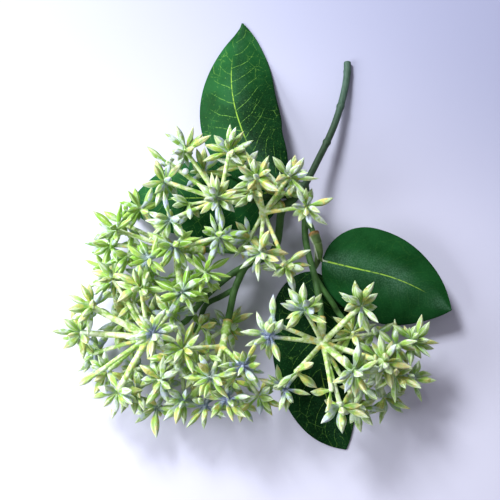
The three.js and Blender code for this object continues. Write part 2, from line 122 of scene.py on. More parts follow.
# Buds: (share of the length, radius) along one, its ridges and sway, and how blue an unnamed cluster is
BUD_SHARES, BUD_RADII = np.array([
    (0.05, 0.85), (0.15, 0.75), (0.25, 0.95), (0.33, 1.3), (0.41, 1.62), (0.49, 1.84), (0.57, 1.92),
    (0.65, 1.84), (0.73, 1.6), (0.81, 1.22), (0.88, 0.8), (0.94, 0.42), (0.985, 0.12),
]).T
BUD_SIDES = 12
BUD_TURN = np.arange(BUD_SIDES) * 2 * math.pi / BUD_SIDES
BUD_RIDGES = 4
BUD_RIDGE = 0.13
BUD_SWAY = 0.07
BUD_SEED = 31
FAINT_BLUE = 0.12

# Finding the CAD buds: how sharp a tip is, how far back from it the belly lies, and their range of lengths
SHARP_TIP_DEGREES = 150
BELLY_FROM_TIP = 0.4
SHORTEST_BUD = 12
LONGEST_BUD = 22

# Extra buds: their length, how many, and how far they keep from their neighbours
BUD_LENGTH = 15.5
EXTRA_BUD_TRIES = 160
EXTRA_BUD_ANGLE = 0.5
EXTRA_BUD_ROOM = 2.6
EXTRA_BUD_LIMIT = 6
EXTRA_BUDS_FROM = 4
EXTRA_BUD_LOWEST = 1.5
CLUSTER_REACH = 1.5
NEIGHBOUR_FROM = 2
NEIGHBOUR_REACH = 30
OWN_BUD_MIDDLE = 10
OWN_BUD_ROOM = 6
LEAF_REACH = 22

# Leaves: the blade's grid, crowded towards the midrib, its narrowest, its side veins' slant, curve and
# stagger, how far apart two leaves' prints are drawn, and the steps that the midrib's turn is averaged over
BLADE_THICKNESS = 0.55
BLADE_ROWS = 120
BLADE_COLUMNS = 56
COLUMN_CROWDING = 1.25
LEAF_BASE_HALF_WIDTH = 1.2
LEAF_TIP_HALF_WIDTH = 0.5
LEAF_LOWEST = 0.4
SIDE_VEINS = 12
VEIN_SLANT = 0.1
VEIN_CURVE = 0.16
VEIN_STAGGER = 0.45
PRINT_APART = 37.0
BASE_FULLNESS = 2.1
BASE_POINT = 0.52
MIDRIB_STEPS = 400
TURN_SPAN = 36

# Relief of a leaf: its long waves, the quilting between side veins, the groove over the midrib and the rib
WAVE_HEIGHT = 0.9
WAVE_LENGTH = 34
QUILT_HEIGHT = 0.07
GROOVE_DEPTH = 0.45
GROOVE_WIDTH = 1.6
RIB_HEIGHT = 0.6
RIB_WIDTH = 0.8
RIB_CLEAR = 2

# Each branch, named for the head that it ends at, has its points, its radii at both ends, and its knots,
# each as its share of the branch and its height
BRANCHES = {
    "head_1": {
        "points": [
            (63.5, 128.5, 1.9), (63, 119, 2.3), (60, 104, 4.5), (53, 82, 9), (42, 58, 15), (34, 42, 21),
            (28, 33.5, 25),
        ],
        "radii": (2.4, 2.1), "knots": [(0.06, 0.3), (0.28, 0.6), (0.52, 0.7)],
    },
    "head_5": {
        "points": [
            (27, 32.5, 24.5), (19.5, 25, 20), (18, 15, 18), (16.5, 6, 17), (12, -2, 16.5), (5, -5, 16.5),
            (-2, -8, 16.5), (-6, -15, 17), (-9.5, -24, 18),
        ],
        "radii": (2.5, 2.1),
    },
    "head_4": {
        "points": [(-1, -7.5, 16.5), (-11, -13.5, 18), (-21, -22, 19.5), (-30, -31, 19.5)],
        "radii": (2.2, 1.8),
    },
    "head_3": {"points": [(7, -4.5, 16.5), (0, 0, 19), (-10, 0, 22)], "radii": (2.0, 1.8)},
    "head_6": {"points": [(-9, -22.5, 18), (-18, -27, 14), (-27, -31.5, 10.5)], "radii": (1.8, 1.6)},
    "head_2": {"points": [(28, 33.5, 24.5), (17, 33, 26.5), (7, 31, 28)], "radii": (1.9, 1.7)},
    "head_7": {
        "points": [
            (34, 42, 20.5), (35, 30, 21), (33.5, 19, 22), (33.5, 8, 22), (35.5, -3, 22), (38.5, -14, 22),
            (40.5, -25, 22.5),
        ],
        "radii": (2.2, 1.9),
    },
    "head_8": {"points": [(38.5, -15, 22), (43.8, -23.5, 21), (50, -32, 19)], "radii": (1.9, 1.7)},
}

# Each head has its seat on the stem, the hub that its pedicels leave, the tips of the pedicels, the radius
# of the thick ones, and the tips of lower pedicels that the CAD model leaves out. wash is its paint: how
# green, how white, and how ochre its buds are. blue is how blue the centres of some clusters are, by
# their number, and girth how fat the buds are. bead is the place of a single round bud.
HEADS = {
    "head_1": {
        "seat": (20, 27.5, 27.5), "hub": (8, 21, 32.5),
        "tips": [
            (4, 38, 50), (23, 40, 45), (33, 23, 40), (6, -5, 43), (21, -11, 36), (0, 7, 27), (20, 33, 33),
            (-4, 48, 38), (1, 33, 39),
        ],
        "lower": [(-0.5, 5, 32)],
        "wash": (0.1, 0.8, 0.9), "blue": {3: 0.5}, "girth": 1.05,
    },
    "head_2": {
        "seat": (-2, 29.5, 29.5), "hub": (-18, 28, 36),
        "tips": [
            (-12, 54, 48), (-19, 25, 53), (-38, 56, 45), (-50, 38, 41), (-48, 48, 47), (-46, 14, 46),
            (-28, 47, 29),
        ],
        "lower": [(-36, 25, 38)], "bead": (-37.5, 42.6, 47.9),
        "wash": (0.2, 1.0, 0.5), "blue": {1: 0.4, 5: 0.6}, "girth": 1.05,
    },
    "head_3": {
        "seat": (-27, 0, 25), "hub": (-44, -1, 31),
        "tips": [
            (-65, 23, 36), (-83, 2, 31), (-58, -9, 48), (-39, -28, 46), (-26, -16, 43), (-18, 4, 46),
            (-43, -2, 51), (-77, 17, 21), (-87, -10, 15), (-78, 9, 40), (-60, -17, 26), (-32, -24, 25),
        ],
        "thick": {3: 1.9},
        "lower": [(-45, -21, 18), (-65, 2, 26), (-37, -14, 30), (-33, 0, 28), (-71, -5, 38)],
        "wash": (1.9, 0.7, 0.15), "blue": {2: 0.7, 3: 0.6, 5: 0.5, 6: 0.7}, "girth": 0.98,
    },
    "head_4": {
        "seat": (-45, -45.5, 22), "hub": (-59, -52.5, 30),
        "tips": [
            (-91, -36, 38), (-99, -50, 28), (-93, -61, 15), (-76, -84, 32), (-54, -52, 51), (-63, -25, 41),
            (-81, -18, 28), (-88, -73, 31), (-74, -42, 17), (-84, -72, 22), (-46, -39, 36),
        ],
        "thick": {0: 1.7, 1: 1.7, 3: 1.7}, "lower": [(-69, -32, 25), (-80, -26, 16), (-77, -46, 18)],
        "wash": (0.3, 0.9, 0.6), "blue": {4: 0.9, 1: 0.3}, "girth": 1.15,
    },
    "head_5": {
        "seat": (-13, -42, 24), "hub": (-16, -58, 30),
        "tips": [
            (-4, -70, 45), (-22, -76, 46), (-13, -88, 35), (-38, -60, 43), (-26, -92, 23), (5, -86, 25),
            (-31, -70, 30), (-12, -77, 23),
        ],
        "lower": [(-24, -63, 32), (-5, -91, 22)],
        "wash": (0.8, 0.7, 0.7), "blue": {0: 1.0, 1: 0.6, 2: 1.0, 4: 0.9}, "girth": 1.0,
    },
    "head_6": {
        "seat": (-34, -49, 11), "hub": (-41, -65, 15),
        "tips": [
            (-52, -77, 32), (-55, -93, 15), (-38, -89, 26), (-69, -71, 13), (-58, -38, 19), (-45, -65, 34),
            (-67, -83, 21), (-14, -45, 12),
        ],
        "lower": [(-52, -77, 12), (-57, -57, 20), (-30, -45, 14), (-27, -69, 13)],
        "wash": (0.5, 0.7, 0.8), "blue": {1: 0.5, 2: 0.7}, "girth": 1.12,
    },
    "head_7": {
        "seat": (42, -40.5, 25), "hub": (42, -56, 32),
        "tips": [
            (31, -39, 50), (11, -53, 42), (63, -36, 46), (76, -68, 42), (58, -73, 50), (46, -83, 42),
            (26, -73, 46), (20, -82, 30), (62, -92, 27), (14, -46, 44), (51, -92, 40),
        ],
        "thick": {2: 1.6, 3: 1.6, 4: 2.0}, "lower": [(66, -80, 31), (73, -50, 31)],
        "wash": (0.2, 0.6, 0.7), "blue": {0: 0.5, 1: 1.0, 4: 0.3, 7: 1.0, 9: 0.8}, "girth": 1.1,
    },
    "head_8": {
        "seat": (57.5, -42.5, 16.5), "hub": (70, -59, 18),
        "tips": [
            (95, -55, 30), (94, -76, 22), (80, -87, 15), (60, -50, 29), (85, -58, 33), (84, -75, 33),
            (73, -64, 32),
        ],
        "lower": [(76, -74, 17)],
        "wash": (0.6, 0.3, 0.6), "blue": {1: 0.6, 4: 0.4}, "girth": 1.0,
    },
}

# Each leaf stalk has its root in the stem, its seat on the peg, and the points of its two forks
LEAF_STALKS = {
    "leaf_stalk_upper": {
        "root": (33.5, 41, 21.5), "seat": (29, 42, 20.5),
        "forks": {
            "leaf_1": [(24, 42.8, 19.5), (20, 44.5, 18.8)],
            "leaf_2": [(24, 42.8, 19.5), (19, 41, 17.5)],
        },
    },
    "leaf_stalk_lower": {
        "root": (35, 20, 22.6), "seat": (38.2, 10.5, 25.5),
        "forks": {
            "leaf_3": [(41.7, -1, 25.6), (42.2, -5, 23.8)],
            "leaf_4": [(41.2, -0.5, 24), (40.8, -6, 18.6), (38.8, -11, 15.6)],
        },
    },
}

# Each half of a leaf: its greatest width, the drop of its edge, where it is widest, its fullness from
# there, and how sharply it closes. tone is how light the green of each half is, lower where painted
# shade darkens a leaf or a half, and tip how much lighter it is at the tip, as painted light. print is
# how plainly the veins show, relief how much the blade is waved, bare where along the midrib its
# printed line begins, rise how far the left half's side veins run towards the tip, and sheen how strong
# the painted sheen of pale specks beside the midrib is.
LEAVES = {
    "leaf_1": {
        "midrib": [
            (19.6, 45.3, 18.8), (10, 54.5, 20), (0, 66, 19), (-7, 84, 15), (-11, 102, 11), (-12, 120, 7),
            (-10, 138, 3), (-5, 156, -2),
        ],
        "left": (24.5, 3, 0.36, 1.8, 1.5), "right": (27.5, 5, 0.48, 3.2, 0.85),
        "tone": (0.5, 0.04), "tip": 0.35, "print": 0.85, "relief": 0.1, "bare": 0.3, "rise": 0.45,
        "sheen": 0.25,
    },
    "leaf_2": {
        "midrib": [(18.5, 40.7, 17.3), (2, 35, 16), (-18, 34, 17), (-45, 34, 15), (-76, 31, 8)],
        "left": (24, 4, 0.5, 2.2, 0.85), "right": (24, 3, 0.5, 2.2, 0.85),
        "tone": (0.5, 0.5), "tip": 0, "print": 0.6, "relief": 0.5, "bare": 0, "rise": 1, "sheen": 0.1,
    },
    "leaf_3": {
        "midrib": [(43.4, -6.1, 23.7), (60, -10, 23), (86, -16, 20), (105, -24, 17), (122, -35, 14)],
        "left": (27, 2, 0.33, 1.95, 0.95), "right": (28, 7, 0.46, 2.5, 0.85),
        "tone": (0.42, 0.33), "tip": 0, "print": 0.07, "relief": 0.8, "bare": 0, "rise": 1, "sheen": 0.9,
    },
    "leaf_4": {
        "midrib": [
            (38.5, -11.7, 15.4), (36, -30, 13), (40, -55, 10), (45, -82, 7), (51, -103, 1.5),
            (58, -118, -1.5),
        ],
        "left": (26, 4, 0.45, 2.1, 0.85), "right": (27, 3, 0.45, 2.6, 0.85),
        "tone": (0.0, 0.0), "tip": 0, "print": 0.6, "relief": 0.8, "bare": 0.62, "rise": 1, "sheen": 0.1,
    },
}


# Curves and meshes in numpy, millimetres

def unit(vector):
    return vector / np.linalg.norm(vector)


def lengths(rows):
    return np.linalg.norm(rows, axis=1)


def spot(row, key):
    return np.array(row[key], float)


def interpolated(at, known, rows):
    """Rows of three numbers, known at some places, read off at others."""
    return np.stack([np.interp(at, known, rows[:, k]) for k in range(3)], axis=1)


def spline(points, steps):
    """A smooth curve through points, centripetal as in the CAD source, at even steps along its length."""
    p = np.array(points, float)
    p = np.vstack([2 * p[0] - p[1], p, 2 * p[-1] - p[-2]])
    w = np.linspace(0, 1, 40, endpoint=False)[:, None]
    rows = []
    for p0, p1, p2, p3 in zip(p, p[1:], p[2:], p[3:]):
        d0, d1, d2 = (math.sqrt(np.linalg.norm(b - a)) for a, b in ((p0, p1), (p1, p2), (p2, p3)))
        t1 = d1 * ((p1 - p0) / d0 - (p2 - p0) / (d0 + d1) + (p2 - p1) / d1)
        t2 = d1 * ((p2 - p1) / d1 - (p3 - p1) / (d1 + d2) + (p3 - p2) / d2)
        square, cube = 3 * (p2 - p1) - 2 * t1 - t2, 2 * (p1 - p2) + t1 + t2
        rows.append(p1 + w * t1 + w ** 2 * square + w ** 3 * cube)
    return resampled(np.vstack(rows + [p[-2]]), steps)


def resampled(path, steps):
    """Points at even steps along a path."""
    length = np.concatenate([[0], np.cumsum(lengths(np.diff(path, axis=0)))])
    return interpolated(np.linspace(0, length[-1], steps + 1), length, path)


def bow(start, end, steps):
    """A pedicel's line: from start to end, rising by a tenth of its length in the middle."""
    middle = (start + end) / 2 + [0, 0, 0.1 * np.linalg.norm(end - start)]
    t = np.linspace(0, 1, steps + 1)[:, None]
    return (1 - t) ** 2 * start + 2 * t * (1 - t) * middle + t ** 2 * end


def ring_faces(rings, sides, closed=False):
    """The faces between each ring of points and the next, and from the last to the first if closed."""
    faces = []
    for i in range(rings if closed else rings - 1):
        a, b = i * sides, (i + 1) % rings * sides
        for j in range(sides):
            k = (j + 1) % sides
            faces.append((a + j, a + k, b + k, b + j))
    return faces


def circle(sides, x, y):
    """Points round a circle, from its first axis towards its second."""
    turn = np.arange(sides) * 2 * math.pi / sides
    return np.outer(np.cos(turn), x) + np.outer(np.sin(turn), y)


def tube(path, radii, sides):
    """A closed tube along a path, with a radius at each of its points."""
    radii = np.broadcast_to(radii, len(path))
    tangents = np.gradient(path, axis=0)
    tangents /= lengths(tangents)[:, None]
    normal = unit(np.cross(tangents[0], ASLANT))
    rings = []
    for point, tangent, radius in zip(path, tangents, radii):
        normal = unit(normal - tangent * (normal @ tangent))
        rings.append(point + radius * circle(sides, normal, np.cross(tangent, normal)))
    last = (len(path) - 1) * sides
    ends = [tuple(range(sides))[::-1], tuple(range(last, last + sides))]
    return np.vstack(rings), ring_faces(len(path), sides) + ends


def turned(profile, start, direction, sides):
    """A closed solid of revolution. Its profile of (radius, distance) runs round the section once."""
    across = unit(np.cross(direction, ASLANT))
    ring = circle(sides, across, np.cross(direction, across))
    points = np.vstack([start + distance * direction + radius * ring for radius, distance in profile])
    return points, ring_faces(len(profile), sides, closed=True)


def ball(centre, radius, rings=8, sides=12):
    angles = [math.pi * (i + 0.5) / rings for i in range(rings)]
    path = np.array([[0, 0, -math.cos(a)] for a in angles]) * radius + centre
    return tube(path, [radius * math.sin(a) for a in angles], sides)


def together(parts):
    points, faces, start = [], [], 0
    for part_points, part_faces in parts:
        points.append(part_points)
        faces += [tuple(i + start for i in face) for face in part_faces]
        start += len(part_points)
    return np.vstack(points), faces


def linked(obj):
    bpy.context.scene.collection.objects.link(obj)
    return obj


def make_object(name, points, faces, attributes=None):
    """A smooth-shaded mesh object from millimetre points, with numbers or vectors stored on its points."""
    mesh = bpy.data.meshes.new(name)
    mesh.from_pydata(((points - PLAN_CENTRE) * MM).tolist(), [], faces)
    mesh.shade_smooth()
    for key, values in (attributes or {}).items():
        values = np.asarray(values, np.float32)
        kind, field = ("FLOAT_VECTOR", "vector") if values.ndim == 2 else ("FLOAT", "value")
        mesh.attributes.new(key, kind, "POINT").data.foreach_set(field, values.ravel())
    return linked(bpy.data.objects.new(name, mesh))


def layout_points(mesh):
    """Where a mesh's points are in the flat layout, in millimetres."""
    return np.array([vertex.co for vertex in mesh.vertices]) / MM + PLAN_CENTRE


def moulded(parts, voxel, smoothings):
    """Overlapping closed parts as one smooth skin: remeshed at voxel millimetres, then relaxed."""
    rough = make_object("rough", *together(parts))
    remesh = rough.modifiers.new("remesh", "REMESH")
    remesh.mode = "VOXEL"
    remesh.voxel_size = voxel * MM
    skin = bpy.data.meshes.new_from_object(rough.evaluated_get(bpy.context.evaluated_depsgraph_get()))
    faces = [tuple(face.vertices) for face in skin.polygons]
    edges = np.array([tuple(edge.vertices) for edge in skin.edges])
    bpy.data.objects.remove(rough)
    return relaxed(layout_points(skin), edges, smoothings), faces


def relaxed(points, edges, rounds):
    """Points moved towards the mean of their neighbours, then nearly as far back, so thin parts stay."""
    ends = np.concatenate([edges[:, 0], edges[:, 1]])
    others = np.concatenate([edges[:, 1], edges[:, 0]])
    share = 1 / np.maximum(np.bincount(ends, minlength=len(points)), 1)
    for i in range(2 * rounds):
        mean = np.stack([np.bincount(ends, points[others, k], len(points)) for k in range(3)], axis=1)
        step = 0.6 if i % 2 == 0 else -0.5
        points = points + step * (mean * share[:, None] - points)
    return points


def ripple(points, height, wavelength, seed):
    """A smooth random field, with its height and its wavelength in millimetres."""
    random = np.random.default_rng(seed)
    total = np.zeros(len(points))
    for _ in range(6):
        wave = random.normal(size=points.shape[1])
        total += np.sin(points @ unit(wave) * 2 * math.pi / (wavelength * random.uniform(0.7, 1.4))
                        + random.uniform(0, 2 * math.pi))
    return height * (total / 3)


def smoothstep(values, low, high):
    t = np.clip((values - low) / (high - low), 0, 1)
    return t * t * (3 - 2 * t)


def fit(obj, material, node):
    """Gives a finished piece its material and its body, and hides the CAD node that it stands for."""
    obj.data.materials.append(material)
    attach(obj, "root")
    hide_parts(node)


# Materials

class Shader:
    """A node material under construction, with a short call for each kind of node that it uses."""

    def __init__(self, name):
        self.material = bpy.data.materials.new(name)
        self.material.use_nodes = True
        self.tree = self.material.node_tree
        self.surface = self.tree.nodes["Principled BSDF"]

    def put(self, value, socket):
        if isinstance(value, bpy.types.NodeSocket):
            self.tree.links.new(value, socket)
        elif socket.type == "RGBA":
            socket.default_value = (*value, 1.0)
        else:
            socket.default_value = value

    def node(self, kind, output, inputs, **settings):
        """One output of a new node, with its inputs given by their names or numbers."""
        node = self.tree.nodes.new("ShaderNode" + kind)
        for key, value in settings.items():
            setattr(node, key, value)
        for key, value in inputs.items():
            self.put(value, node.inputs[key])
        return node.outputs[output]

    def attribute(self, name, output="Fac"):
        return self.node("Attribute", output, {}, attribute_name=name)

    def place(self):
        """Where a point is on the object, in metres."""
        return self.node("TexCoord", "Object", {})

    def math(self, operation, first, second=0.0):
        return self.node("Math", 0, {0: first, 1: second}, operation=operation)

    def plus(self, first, second):
        return self.math("ADD", first, second)

    def minus(self, first, second):
        return self.math("SUBTRACT", first, second)

    def times(self, product, *factors):
        for factor in factors:
            product = self.math("MULTIPLY", product, factor)
        return product

    def absolute(self, value):
        return self.math("ABSOLUTE", value)

    def vectors(self, operation, first, second):
        return self.node("VectorMath", 0, {0: first, 1: second}, operation=operation)

    def noise(self, vector, scale, detail=2.0, output="Fac"):
        return self.node("TexNoise", output, {"Vector": vector, "Scale": scale, "Detail": detail})

    def cracks(self, vector, scale):
        """The distance to the nearest edge between random cells."""
        cells = {"Vector": vector, "Scale": scale}
        return self.node("TexVoronoi", "Distance", cells, feature="DISTANCE_TO_EDGE")

    def shaken(self, vector, scale, amount):
        """A vector moved about by noise, so that lines drawn from it waver."""
        centred = self.vectors("SUBTRACT", self.noise(vector, scale, 2.0, "Color"), (0.5, 0.5, 0.5))
        return self.vectors("ADD", vector, self.vectors("MULTIPLY", centred, (amount, amount, amount)))

    def span(self, value, low, high, to_low=0.0, to_high=1.0):
        """A value carried smoothly from one range to another, and held at its ends."""
        ranges = {"From Min": low, "From Max": high, "To Min": to_low, "To Max": to_high}
        return self.node("MapRange", 0, {"Value": value, **ranges}, interpolation_type="SMOOTHSTEP")

    def mix(self, share, first, second):
        """A colour between two others. Inputs 6 and 7 of the node are its two colours."""
        return self.node("Mix", 2, {0: share, 6: first, 7: second}, data_type="RGBA")

    def parts(self, vector):
        node = self.tree.nodes.new("ShaderNodeSeparateXYZ")
        self.put(vector, node.inputs[0])
        return node.outputs

    def set(self, name, value):
        self.put(value, self.surface.inputs[name])

    def bump(self, height, distance):
        self.set("Normal", self.node("Bump", 0, {"Height": height, "Distance": distance}))


def stem_material():
    """Green plastic, darkened by painted shade around the upper fork, with a grey-green film towards the cut
    end.
    """
    m = Shader("stem_plastic")
    place = m.place()
    shade_and_film = m.attribute("shade_and_film")
    streaks = m.noise(m.vectors("MULTIPLY", place, (900, 260, 900)), 1.0, 4)
    streaked = m.span(streaks, 0.35, 0.7)
    mottled = m.span(m.noise(place, 160, 3), 0.35, 0.65)
    green = m.mix(mottled, (0.03, 0.09, 0.018), (0.055, 0.145, 0.03))
    dark = m.mix(streaked, (0.011, 0.034, 0.012), (0.022, 0.058, 0.023))
    film = m.mix(streaked, (0.028, 0.07, 0.043), (0.052, 0.106, 0.076))
    # From green through painted shade, dark round the upper fork, to the grey-green film at the cut end.
    m.set("Base Color", m.mix(m.span(shade_and_film, 0.5, 1.0), m.mix(m.span(shade_and_film, 0.0, 0.5), green, dark), film))
    m.set("Roughness", m.span(streaks, 0.3, 0.7, 0.5, 0.66))
    m.set("Specular IOR Level", 0.35)
    m.bump(m.plus(streaks, m.noise(place, 1500, 3)), 0.00018)
    return m.material


def stalk_material():
    """Light green plastic with whitish streaks and yellow flecks, dabbed blue-grey where buds stand."""
    m = Shader("stalk_plastic")
    place = m.place()
    near = m.attribute("near")
    fleck = m.noise(place, 420, 3)
    drift = m.noise(place, 95, 2)
    green = m.mix(m.span(drift, 0.35, 0.65), (0.24, 0.44, 0.06), (0.42, 0.6, 0.14))
    streaked = m.span(m.plus(fleck, m.times(drift, 0.5)), 0.62, 0.92)
    pale = m.mix(streaked, green, (0.68, 0.78, 0.52))
    worn = m.plus(m.noise(place, 230, 2), m.times(m.attribute("hub"), 0.08))
    yellow = m.times(m.span(worn, 0.58, 0.68), m.minus(1.0, near))
    flecked = m.mix(yellow, pale, (0.66, 0.6, 0.18))
    paint = m.mix(m.span(m.noise(place, 300, 2), 0.42, 0.6), (0.14, 0.2, 0.36), (0.5, 0.58, 0.72))
    dabbed = m.mix(m.times(near, m.span(drift, 0.3, 0.5, 0.3, 1.0)), flecked, paint)
    beaded = m.mix(m.attribute("bead"), dabbed, (0.66, 0.76, 0.8))
    mouth = m.mix(m.span(fleck, 0.4, 0.6), (0.3, 0.2, 0.03), (0.5, 0.38, 0.08))
    m.set("Base Color", m.mix(m.attribute("mouth"), beaded, mouth))
    m.set("Roughness", 0.55)
    m.bump(m.plus(fleck, m.noise(place, 1400, 2)), 0.00022)
    return m.material


def leaf_stalk_material():
    """Lighter green plastic, whitish along both side edges as seen from above, with an ochre mouth."""
    m = Shader("leaf_stalk_plastic")
    place = m.place()
    fleck = m.noise(place, 380, 3)
    green = m.mix(m.span(m.noise(place, 150, 3), 0.35, 0.65), (0.05, 0.105, 0.025), (0.11, 0.19, 0.055))
    side_white = m.times(m.attribute("side_white"), m.span(fleck, 0.3, 0.44))
    ridge_highlighted = m.mix(side_white, green, (0.5, 0.56, 0.46))
    mouth = m.mix(m.span(fleck, 0.4, 0.6), (0.2, 0.1, 0.03), (0.4, 0.24, 0.07))
    m.set("Base Color", m.mix(m.attribute("mouth"), ridge_highlighted, mouth))
    m.set("Roughness", 0.6)
    m.set("Specular IOR Level", 0.3)
    m.bump(fleck, 0.0002)
    return m.material


def bud_material():
    """Soft plastic, green at the root and cream at the tip, with painted shade in its grooves and painted
    highlights on its ridges, brushed with white, lavender and ochre paint.
    """
    m = Shader("bud_plastic")
    along, tone, hue = (m.attribute(name) for name in ("along", "tone", "hue"))
    ridge, cluster = (m.attribute(name) for name in ("ridge", "cluster"))
    wash_green, wash_white, wash_ochre = m.parts(m.attribute("wash", "Vector"))
    local = m.attribute("local", "Vector")
    streak = m.noise(m.vectors("MULTIPLY", local, (1.0, 1.0, 0.28)), 0.75, 3)
    patch = m.noise(local, 0.21, 2)
    speck = m.noise(local, 2.6, 3)

    reach = m.plus(along, m.times(m.minus(streak, 0.5), 1.1))
    ripe = m.span(m.minus(reach, m.times(wash_green, 0.25)), 0.25, 0.8)
    green = m.mix(tone, (0.21, 0.45, 0.04), (0.46, 0.71, 0.16))
    cream = m.mix(tone, (0.57, 0.73, 0.35), (0.72, 0.83, 0.62))
    body = m.mix(ripe, green, cream)
    # Painted shade darkens the grooves between the ridges to a deeper green, and a painted highlight whitens
    # the ridges.
    groove_shade = m.times(m.span(ridge, 0.0, -0.8), m.span(streak, 0.38, 0.54), 0.9)
    flanks = m.mix(groove_shade, body, (0.16, 0.35, 0.03))
    edge = m.times(m.span(ridge, 0.4, 0.97), m.span(streak, 0.4, 0.58), 0.85)
    ridge_highlighted = m.mix(edge, flanks, (0.78, 0.89, 0.76))

    brushed = m.times(m.span(patch, 0.5, 0.6), m.span(hue, 0.3, 0.6), wash_white, 0.85)
    white = m.mix(brushed, ridge_highlighted, (0.75, 0.83, 0.86))
    lavender = m.times(m.span(hue, 0.78, 0.9), m.span(patch, 0.44, 0.58), wash_white, 0.8)
    blued = m.mix(lavender, white, (0.4, 0.47, 0.68))
    ochre = m.times(m.span(patch, 0.52, 0.42), m.span(speck, 0.4, 0.56), m.span(hue, 0.62, 0.3), wash_ochre)
    touched = m.mix(ochre, blued, (0.78, 0.56, 0.16))
    olive = m.times(m.span(m.noise(local, 0.33, 3), 0.56, 0.64), m.span(hue, 0.2, 0.1), 0.75)
    shaded = m.mix(olive, touched, (0.3, 0.3, 0.06))

    root = m.times(m.span(m.minus(along, m.times(cluster, 0.14)), 0.34, 0.1), cluster)
    blue = m.mix(m.span(speck, 0.4, 0.6), (0.13, 0.19, 0.35), (0.5, 0.58, 0.72))
    m.set("Base Color", m.mix(root, shaded, blue))
    m.set("Roughness", 0.5)
    m.set("Specular IOR Level", 0.2)
    m.set("Subsurface Weight", 0.25)
    m.set("Subsurface Scale", 0.0008)
    m.set("Subsurface Radius", (1.0, 1.0, 0.35))
    m.bump(m.plus(streak, m.times(speck, 0.8)), 0.0008)
    return m.material


def leaf_material():
    """Coated cloth: green with painted shade, light and sheen, printed veins, a midrib, side veins and a
    fine broken network.
    """
    m = Shader("leaf_cloth")
    blade = m.attribute("blade", "Vector")
    along = m.attribute("along")
    side = m.absolute(m.attribute("across"))
    broad = m.span(m.noise(blade, 0.045, 3), 0.35, 0.65)
    fine = m.noise(blade, 1.2, 4)
    dark = m.mix(broad, (0.002, 0.016, 0.004), (0.003, 0.026, 0.006))
    light = m.mix(broad, (0.006, 0.066, 0.012), (0.018, 0.13, 0.032))
    # The greens by tone: lower tones are painted shade on some leaves and halves, and the lift towards a tip
    # is painted light.
    base = m.mix(m.attribute("tone"), dark, light)
    grain = m.mix(m.span(fine, 0.45, 0.75, 0.0, 0.3), base, (0.018, 0.11, 0.024))
    # A painted sheen: pale speckled patches beside the midrib, as strong as each leaf's sheen.
    painted_sheen = m.times(m.span(m.noise(blade, 0.028, 1), 0.36, 0.6, 0.2, 1.0), m.span(side, 0.55, 0.05))
    speckled = m.times(painted_sheen, m.span(fine, 0.42, 0.6, 0.4, 1.0), m.attribute("sheen"))
    sheened = m.mix(speckled, grain, (0.06, 0.14, 0.085))

    drift = m.noise(blade, 0.07, 2)
    rank = m.plus(m.attribute("rank"), m.times(m.minus(drift, 0.5), 0.55))
    from_line = m.absolute(m.minus(m.math("FRACT", rank), 0.5))
    side_vein = m.times(m.span(from_line, 0.028, 0.009), m.span(side, 0.75, 0.5))
    cells = m.span(m.cracks(m.shaken(blade, 0.09, 1.4), 0.12), 0.024, 0.008)
    netted = m.times(cells, m.span(side, 0.3, 0.55, 0.0, 0.5), m.span(drift, 0.42, 0.56, 0.1, 1.0))
    dots = m.noise(blade, 0.9, 2)
    lines = m.times(m.math("MAXIMUM", side_vein, netted), m.span(dots, 0.38, 0.56, 0.15, 1.0))
    marks = m.math("MAXIMUM", lines, m.times(m.span(dots, 0.66, 0.74), 0.5))
    printed = m.times(marks, m.span(side, 1.0, 0.9), m.attribute("print"))
    veined = m.mix(printed, sheened, (0.17, 0.38, 0.06))

    half_width = m.span(along, 0.0, 0.8, 0.75, 0.32)
    midrib = m.span(m.absolute(m.attribute("offset")), half_width, 0.1)
    begun = m.span(m.minus(along, m.attribute("bare")), -0.1, 0.05)
    worn = m.times(m.span(m.noise(blade, 0.5, 2), 0.36, 0.5, 0.3, 1.0), m.span(along, 0.8, 0.66))
    ribbed = m.mix(m.times(midrib, begun, worn), veined, (0.27, 0.48, 0.06))
    under = m.mix(m.span(m.noise(blade, 0.1, 3), 0.35, 0.65), (0.05, 0.12, 0.05), (0.08, 0.17, 0.07))
    m.set("Base Color", m.mix(m.attribute("under"), ribbed, under))
    m.set("Roughness", m.span(fine, 0.3, 0.7, 0.44, 0.56))
    m.set("Specular IOR Level", 0.04)
    m.bump(m.noise(blade, 2.2, 2), 0.00012)
    return m.material


def floor_material():
    """A pale matt surface, with painted shade deepening it towards the top and its right corner."""
    m = Shader("backdrop")
    x, y, _ = m.parts(m.place())
    pale = m.mix(m.noise(m.place(), 3, 2), (0.52, 0.53, 0.65), (0.545, 0.555, 0.675))
    # Painted shade: darker towards the top, and darker still towards the top right corner.
    upper = m.mix(m.span(y, -0.02, 0.16), pale, (0.41, 0.43, 0.55))
    m.set("Base Color", m.mix(m.span(m.plus(x, y), 0.02, 0.34), upper, (0.3, 0.32, 0.47)))
    m.set("Roughness", 0.9)
    return m.material


# Stem

def head_direction(head):
    return unit(spot(head, "hub") - spot(head, "seat"))


def branch_path(branch, head):
    """A branch's line, through its points and straight into its head's seat."""
    seat = spot(head, "seat")
    lead = seat - PEG_LEAD * head_direction(head)
    length = lengths(np.diff(spot(branch, "points"), axis=0)).sum()
    return spline([*branch["points"], lead, seat], max(12, int(length / STEM_STEP)))


def branch_tube(branch, head):
    path = branch_path(branch, head)
    t = np.linspace(0, 1, len(path))
    radii = np.linspace(*branch["radii"], len(path))
    for at, height in branch.get("knots", []):
        radii = radii + height * np.exp(-((t - at) / KNOT_WIDTH) ** 2)
    return tube(path, radii, STEM_SIDES)


def peg(seat, direction):
    return tube([seat - direction, seat + PEG_LENGTH * direction], PEG_RADIUS, PEG_SIDES)


